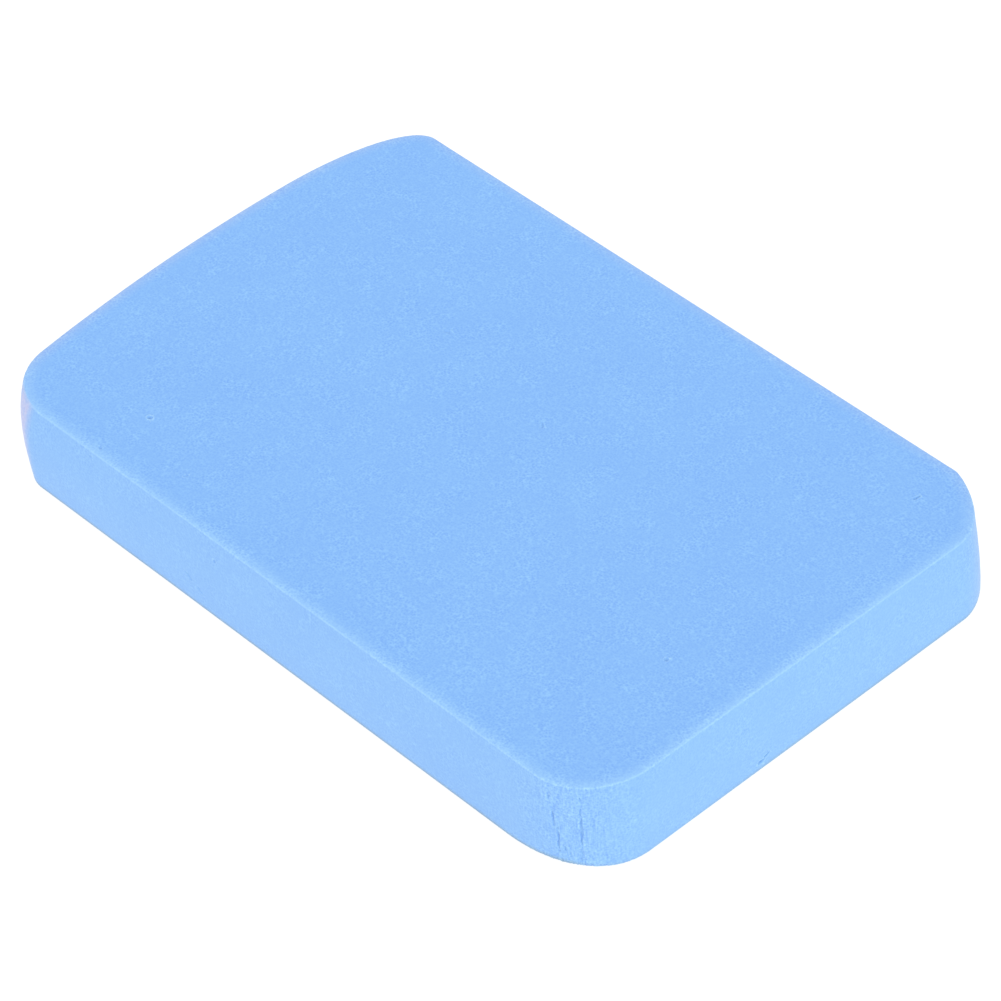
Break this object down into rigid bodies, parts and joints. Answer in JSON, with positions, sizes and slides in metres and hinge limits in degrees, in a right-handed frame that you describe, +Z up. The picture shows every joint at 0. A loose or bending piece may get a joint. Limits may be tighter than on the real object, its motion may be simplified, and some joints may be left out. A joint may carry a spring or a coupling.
{
  "type": "kickboard float",
  "caption": "Small swimming kickboard: a flat block of pale blue closed-cell foam with straight sides and tail, rounded corners and a gently bowed nose.",
  "frame": {"origin": "middle of the rest face, which is the underside", "axes": "+X across the board, +Y along it towards the bowed nose, +Z up through its thickness"},
  "size_m": [0.198, 0.3, 0.038],
  "materials": {
    "foam": "matte"
  },
  "bodies": {
    "root": {"foam_board": "foam"}
  },
  "joints": []
}
